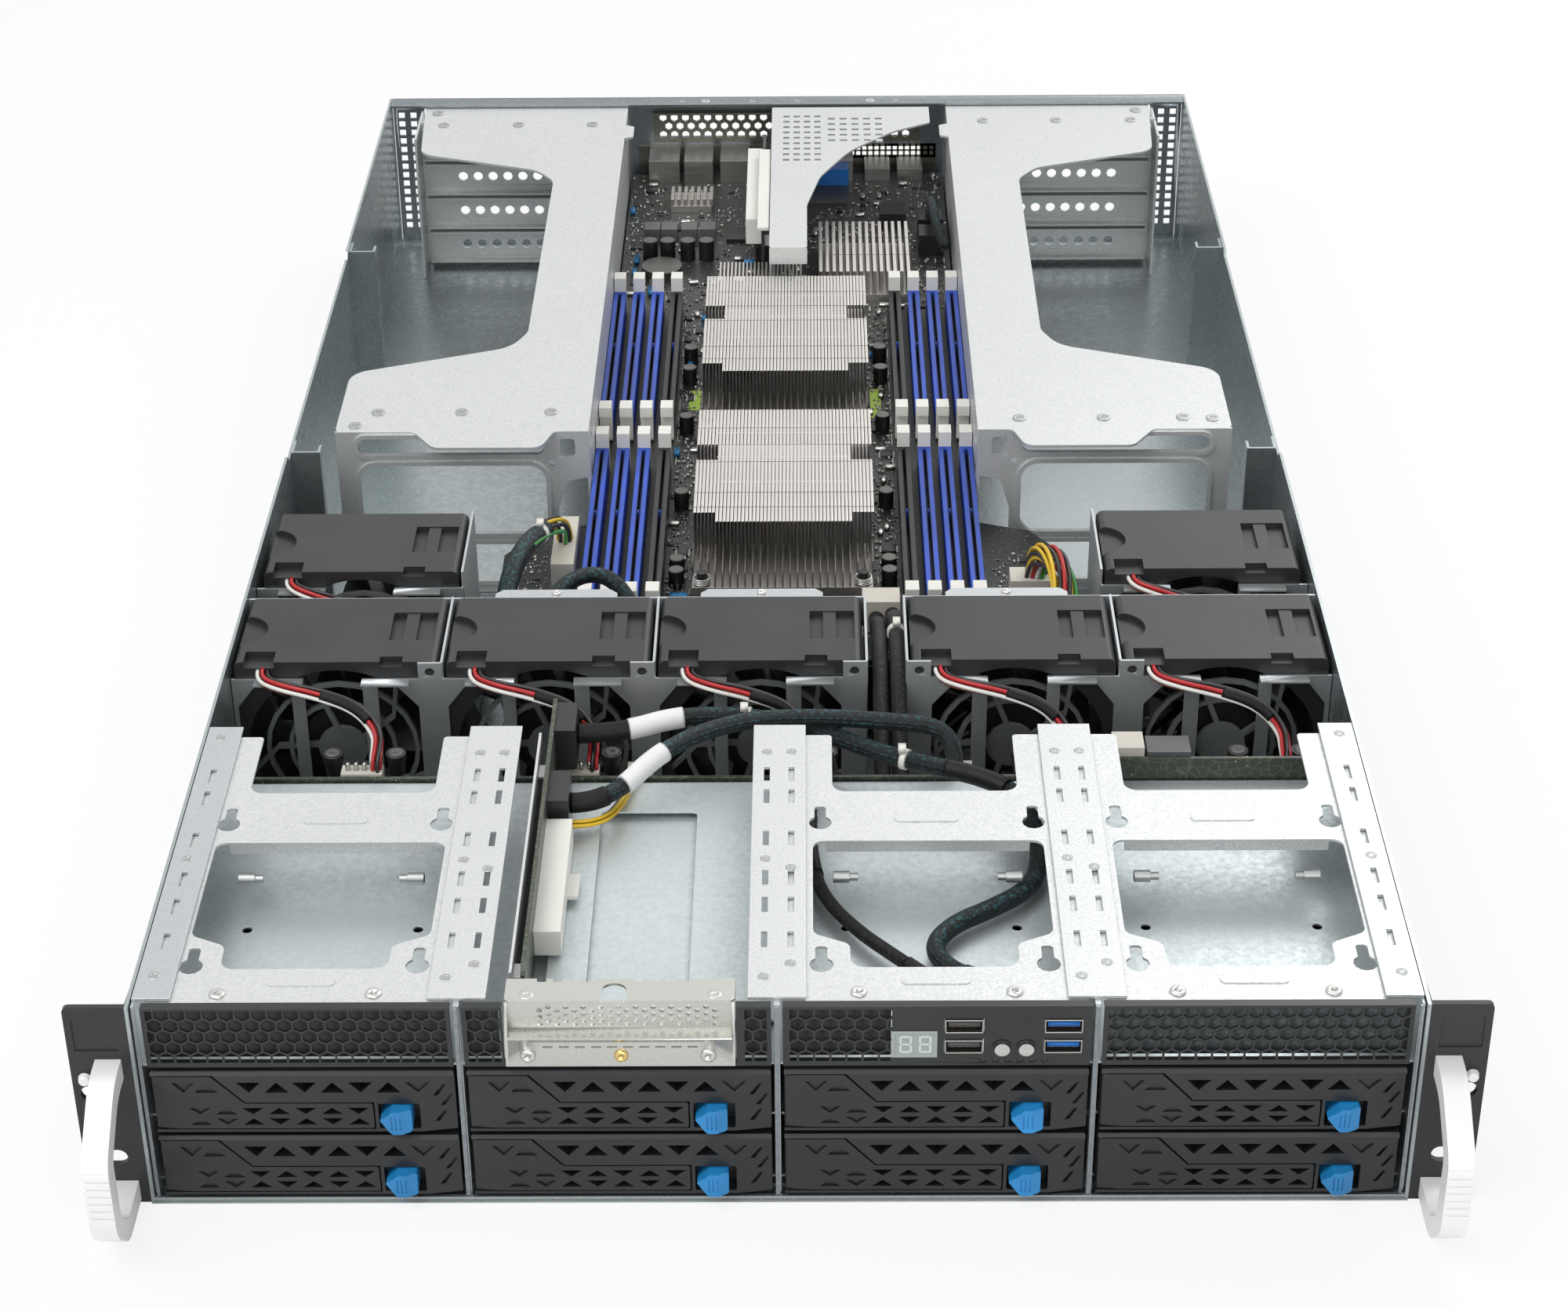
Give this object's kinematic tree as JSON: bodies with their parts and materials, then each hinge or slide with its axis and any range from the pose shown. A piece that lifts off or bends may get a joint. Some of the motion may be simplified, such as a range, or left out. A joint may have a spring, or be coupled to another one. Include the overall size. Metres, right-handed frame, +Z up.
{
  "type": "rack server",
  "caption": "Open two-unit rack server: slide-out drive trays, spoked fans, raised main board with memory slots and finned coolers, and two tall card cages.",
  "frame": {"origin": "centre of the whole outline, on the underside of the case", "axes": "+X to the right seen from the front, +Y from the front face to the rear, +Z up"},
  "size_m": [0.4826, 0.836, 0.087],
  "materials": {
    "galvanised_steel": "zinc coated sheet, satin",
    "zinc_sheet": "speckled zinc sheet",
    "nickel_sheet": "bright nickel",
    "black_panel": "fine matt",
    "black_paint": "powder coat",
    "cast_alloy": "silver paint on casting",
    "black_plastic": "moulded matt",
    "rotor_plastic": "moulded matt",
    "circuit_board": "solder mask",
    "power_case": "zinc coated sheet",
    "slot_blue": "moulded",
    "fin_metal": "bare fins",
    "component_black": "moulded",
    "cable_sleeve": "braided sleeve",
    "button_metal": "satin chrome",
    "white_plastic": "moulded",
    "tray_black": "moulded matt",
    "latch_blue": "moulded",
    "port_metal": "bright"
  },
  "bodies": {
    "root": {"base_pan": "galvanised_steel", "rear_panel": "galvanised_steel", "drive_cage": "galvanised_steel", "bay_covers": "zinc_sheet", "front_panels": "black_panel", "control_panel": "black_panel", "port_shells": "port_metal", "front_bracket": "nickel_sheet", "rack_ears": "black_paint", "rack_handles": "cast_alloy", "fan_frames": "black_plastic", "fan_cage": "galvanised_steel", "backplane": "circuit_board", "front_riser": "circuit_board", "motherboard": "circuit_board", "dimm_slots": "slot_blue", "heatsinks": "fin_metal", "board_parts": "component_black", "gpu_cages": "zinc_sheet", "centre_riser": "zinc_sheet", "braided_cables": "cable_sleeve"},
    "tray_low_1": {"tray_low_1": "tray_black"},
    "lever_low_1": {"lever_low_1": "tray_black"},
    "latch_low_1": {"latch_low_1": "latch_blue"},
    "tray_low_2": {"tray_low_2": "tray_black"},
    "lever_low_2": {"lever_low_2": "tray_black"},
    "latch_low_2": {"latch_low_2": "latch_blue"},
    "tray_low_3": {"tray_low_3": "tray_black"},
    "lever_low_3": {"lever_low_3": "tray_black"},
    "latch_low_3": {"latch_low_3": "latch_blue"},
    "tray_low_4": {"tray_low_4": "tray_black"},
    "lever_low_4": {"lever_low_4": "tray_black"},
    "latch_low_4": {"latch_low_4": "latch_blue"},
    "tray_top_1": {"tray_top_1": "tray_black"},
    "lever_top_1": {"lever_top_1": "tray_black"},
    "latch_top_1": {"latch_top_1": "latch_blue"},
    "tray_top_2": {"tray_top_2": "tray_black"},
    "lever_top_2": {"lever_top_2": "tray_black"},
    "latch_top_2": {"latch_top_2": "latch_blue"},
    "tray_top_3": {"tray_top_3": "tray_black"},
    "lever_top_3": {"lever_top_3": "tray_black"},
    "latch_top_3": {"latch_top_3": "latch_blue"},
    "tray_top_4": {"tray_top_4": "tray_black"},
    "lever_top_4": {"lever_top_4": "tray_black"},
    "latch_top_4": {"latch_top_4": "latch_blue"},
    "fan_rotor_1": {"fan_rotor_1": "rotor_plastic"},
    "fan_rotor_2": {"fan_rotor_2": "rotor_plastic"},
    "fan_rotor_3": {"fan_rotor_3": "rotor_plastic"},
    "fan_rotor_4": {"fan_rotor_4": "rotor_plastic"},
    "fan_rotor_5": {"fan_rotor_5": "rotor_plastic"},
    "fan_rotor_6": {"fan_rotor_6": "rotor_plastic"},
    "fan_rotor_7": {"fan_rotor_7": "rotor_plastic"},
    "dimm_latches_1": {"dimm_latches_1": "white_plastic"},
    "dimm_latches_2": {"dimm_latches_2": "white_plastic"},
    "dimm_latches_3": {"dimm_latches_3": "white_plastic"},
    "dimm_latches_4": {"dimm_latches_4": "white_plastic"},
    "power_button": {"power_button": "button_metal"},
    "id_button": {"id_button": "button_metal"},
    "power_supply_1": {"power_supply_1": "power_case"},
    "power_supply_2": {"power_supply_2": "power_case"}
  },
  "joints": [
    {"name": "tray_low_1_slide", "type": "slide", "parent": "root", "child": "tray_low_1", "axis": [0, -1, 0], "range_m": [0, 0.15]},
    {"name": "lever_low_1_hinge", "type": "hinge", "parent": "tray_low_1", "child": "lever_low_1", "pos_m": [-0.2124, -0.3798, 0.017], "axis": [0, 0, -1], "range_deg": [0, 55]},
    {"name": "latch_low_1_slide", "type": "slide", "parent": "tray_low_1", "child": "latch_low_1", "axis": [1, 0, 0], "range_m": [0, 0.0023], "stiffness_N_per_m": 300},
    {"name": "tray_low_2_slide", "type": "slide", "parent": "root", "child": "tray_low_2", "axis": [0, -1, 0], "range_m": [0, 0.15]},
    {"name": "lever_low_2_hinge", "type": "hinge", "parent": "tray_low_2", "child": "lever_low_2", "pos_m": [-0.104, -0.3798, 0.017], "axis": [0, 0, -1], "range_deg": [0, 55]},
    {"name": "latch_low_2_slide", "type": "slide", "parent": "tray_low_2", "child": "latch_low_2", "axis": [1, 0, 0], "range_m": [0, 0.0023], "stiffness_N_per_m": 300},
    {"name": "tray_low_3_slide", "type": "slide", "parent": "root", "child": "tray_low_3", "axis": [0, -1, 0], "range_m": [0, 0.15]},
    {"name": "lever_low_3_hinge", "type": "hinge", "parent": "tray_low_3", "child": "lever_low_3", "pos_m": [0.0044, -0.3798, 0.017], "axis": [0, 0, -1], "range_deg": [0, 55]},
    {"name": "latch_low_3_slide", "type": "slide", "parent": "tray_low_3", "child": "latch_low_3", "axis": [1, 0, 0], "range_m": [0, 0.0023], "stiffness_N_per_m": 300},
    {"name": "tray_low_4_slide", "type": "slide", "parent": "root", "child": "tray_low_4", "axis": [0, -1, 0], "range_m": [0, 0.15]},
    {"name": "lever_low_4_hinge", "type": "hinge", "parent": "tray_low_4", "child": "lever_low_4", "pos_m": [0.1128, -0.3798, 0.017], "axis": [0, 0, -1], "range_deg": [0, 55]},
    {"name": "latch_low_4_slide", "type": "slide", "parent": "tray_low_4", "child": "latch_low_4", "axis": [1, 0, 0], "range_m": [0, 0.0023], "stiffness_N_per_m": 300},
    {"name": "tray_top_1_slide", "type": "slide", "parent": "root", "child": "tray_top_1", "axis": [0, -1, 0], "range_m": [0, 0.15]},
    {"name": "lever_top_1_hinge", "type": "hinge", "parent": "tray_top_1", "child": "lever_top_1", "pos_m": [-0.2124, -0.3798, 0.0455], "axis": [0, 0, -1], "range_deg": [0, 55]},
    {"name": "latch_top_1_slide", "type": "slide", "parent": "tray_top_1", "child": "latch_top_1", "axis": [1, 0, 0], "range_m": [0, 0.0023], "stiffness_N_per_m": 300},
    {"name": "tray_top_2_slide", "type": "slide", "parent": "root", "child": "tray_top_2", "axis": [0, -1, 0], "range_m": [0, 0.15]},
    {"name": "lever_top_2_hinge", "type": "hinge", "parent": "tray_top_2", "child": "lever_top_2", "pos_m": [-0.104, -0.3798, 0.0455], "axis": [0, 0, -1], "range_deg": [0, 55]},
    {"name": "latch_top_2_slide", "type": "slide", "parent": "tray_top_2", "child": "latch_top_2", "axis": [1, 0, 0], "range_m": [0, 0.0023], "stiffness_N_per_m": 300},
    {"name": "tray_top_3_slide", "type": "slide", "parent": "root", "child": "tray_top_3", "axis": [0, -1, 0], "range_m": [0, 0.15]},
    {"name": "lever_top_3_hinge", "type": "hinge", "parent": "tray_top_3", "child": "lever_top_3", "pos_m": [0.0044, -0.3798, 0.0455], "axis": [0, 0, -1], "range_deg": [0, 55]},
    {"name": "latch_top_3_slide", "type": "slide", "parent": "tray_top_3", "child": "latch_top_3", "axis": [1, 0, 0], "range_m": [0, 0.0023], "stiffness_N_per_m": 300},
    {"name": "tray_top_4_slide", "type": "slide", "parent": "root", "child": "tray_top_4", "axis": [0, -1, 0], "range_m": [0, 0.15]},
    {"name": "lever_top_4_hinge", "type": "hinge", "parent": "tray_top_4", "child": "lever_top_4", "pos_m": [0.1128, -0.3798, 0.0455], "axis": [0, 0, -1], "range_deg": [0, 55]},
    {"name": "latch_top_4_slide", "type": "slide", "parent": "tray_top_4", "child": "latch_top_4", "axis": [1, 0, 0], "range_m": [0, 0.0023], "stiffness_N_per_m": 300},
    {"name": "fan_rotor_1_spin", "type": "hinge", "parent": "root", "child": "fan_rotor_1", "pos_m": [-0.17664, -0.1394, 0.0445], "axis": [0, 1, 0], "continuous": true},
    {"name": "fan_rotor_2_spin", "type": "hinge", "parent": "root", "child": "fan_rotor_2", "pos_m": [-0.09232, -0.1394, 0.0445], "axis": [0, 1, 0], "continuous": true},
    {"name": "fan_rotor_3_spin", "type": "hinge", "parent": "root", "child": "fan_rotor_3", "pos_m": [-0.008, -0.1394, 0.0445], "axis": [0, 1, 0], "continuous": true},
    {"name": "fan_rotor_4_spin", "type": "hinge", "parent": "root", "child": "fan_rotor_4", "pos_m": [0.09232, -0.1394, 0.0445], "axis": [0, 1, 0], "continuous": true},
    {"name": "fan_rotor_5_spin", "type": "hinge", "parent": "root", "child": "fan_rotor_5", "pos_m": [0.17664, -0.1394, 0.0445], "axis": [0, 1, 0], "continuous": true},
    {"name": "fan_rotor_6_spin", "type": "hinge", "parent": "root", "child": "fan_rotor_6", "pos_m": [-0.17484, -0.0695, 0.0445], "axis": [0, 1, 0], "continuous": true},
    {"name": "fan_rotor_7_spin", "type": "hinge", "parent": "root", "child": "fan_rotor_7", "pos_m": [0.17484, -0.0695, 0.0445], "axis": [0, 1, 0], "continuous": true},
    {"name": "dimm_latches_1_tilt", "type": "hinge", "parent": "root", "child": "dimm_latches_1", "pos_m": [0, -0.0693, 0.0473], "axis": [1, 0, 0], "range_deg": [0, 20]},
    {"name": "dimm_latches_2_tilt", "type": "hinge", "parent": "root", "child": "dimm_latches_2", "pos_m": [0, 0.0681, 0.0473], "axis": [-1, 0, 0], "range_deg": [0, 20]},
    {"name": "dimm_latches_3_tilt", "type": "hinge", "parent": "root", "child": "dimm_latches_3", "pos_m": [0, 0.0966, 0.0473], "axis": [1, 0, 0], "range_deg": [0, 20]},
    {"name": "dimm_latches_4_tilt", "type": "hinge", "parent": "root", "child": "dimm_latches_4", "pos_m": [0, 0.234, 0.0473], "axis": [-1, 0, 0], "range_deg": [0, 20]},
    {"name": "power_button_press", "type": "slide", "parent": "root", "child": "power_button", "axis": [0, 1, 0], "range_m": [0, 0.0008], "stiffness_N_per_m": 400},
    {"name": "id_button_press", "type": "slide", "parent": "root", "child": "id_button", "axis": [0, 1, 0], "range_m": [0, 0.0008], "stiffness_N_per_m": 400},
    {"name": "power_supply_1_slide", "type": "slide", "parent": "root", "child": "power_supply_1", "axis": [0, 1, 0], "range_m": [0, 0.15]},
    {"name": "power_supply_2_slide", "type": "slide", "parent": "root", "child": "power_supply_2", "axis": [0, 1, 0], "range_m": [0, 0.15]}
  ]
}
